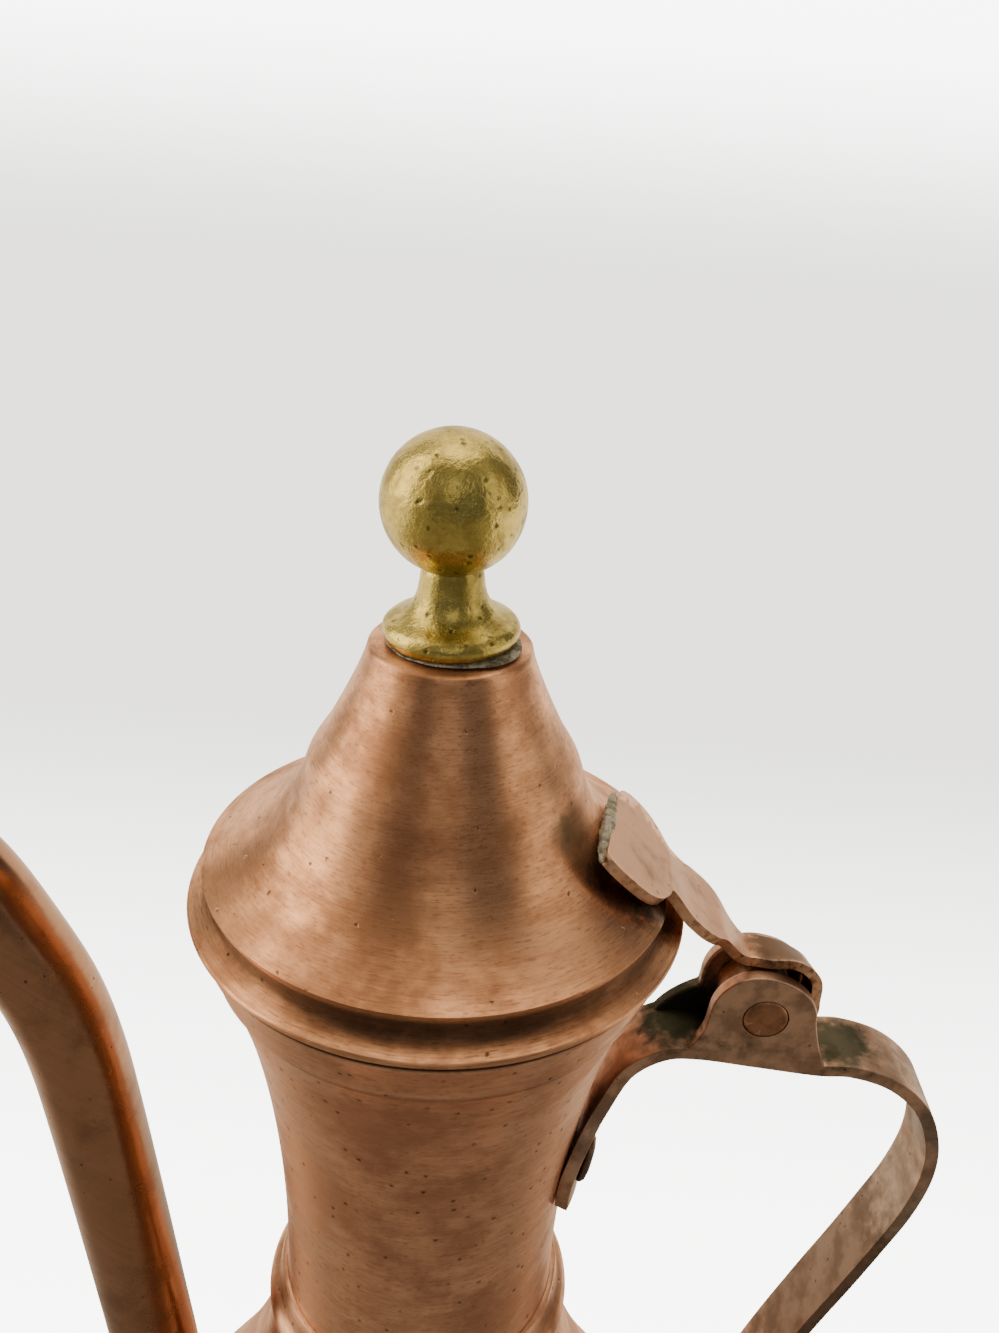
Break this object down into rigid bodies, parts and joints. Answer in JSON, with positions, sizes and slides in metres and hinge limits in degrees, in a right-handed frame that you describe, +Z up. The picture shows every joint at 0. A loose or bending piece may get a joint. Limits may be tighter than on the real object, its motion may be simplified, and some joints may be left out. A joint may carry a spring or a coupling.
{
  "type": "copper ewer",
  "caption": "Copper ewer with a pear-shaped body, flared neck, bell-shaped hinged lid with a brass ball finial, long curved spout and riveted strap handle.",
  "frame": {"origin": "centre of the flat underside of the base plate, on the vessel's axis, at the level of the table", "axes": "+Z up along the vessel's axis, +X towards the handle and the lid's hinge, -X towards the spout, +Y along the hinge pin"},
  "size_m": [0.1845, 0.14, 0.3115],
  "materials": {
    "copper_body": "hand-burnished copper sheet with fine turning marks",
    "copper_lid": "turned copper sheet with fine rings",
    "copper_strap": "forged copper strap, worn bright on its edges",
    "dark_copper": "oxidised copper",
    "brass": "worn cast brass with small pits",
    "solder": "granular grey-green solder"
  },
  "bodies": {
    "vessel": {"foot_ring": "copper_body", "base_plate": "copper_body", "lower_bowl": "copper_body", "upper_body": "copper_body", "neck_tube": "copper_body", "neck_collar": "copper_body", "spout_tube": "copper_body", "handle_strap": "copper_strap", "hinge_pin": "dark_copper", "neck_rivet": "copper_strap", "handle_rivet_upper": "copper_strap", "handle_rivet_lower": "copper_strap"},
    "lid": {"lid_shell": "copper_lid", "lid_sleeve": "dark_copper", "finial": "brass", "finial_washer": "dark_copper", "finial_solder": "solder", "lid_strap": "copper_strap", "strap_solder": "solder"}
  },
  "joints": [
    {"name": "lid_hinge", "type": "hinge", "parent": "vessel", "child": "lid", "pos_m": [0.0538, 0, 0.22], "axis": [0, 1, 0], "range_deg": [0, 92]}
  ]
}
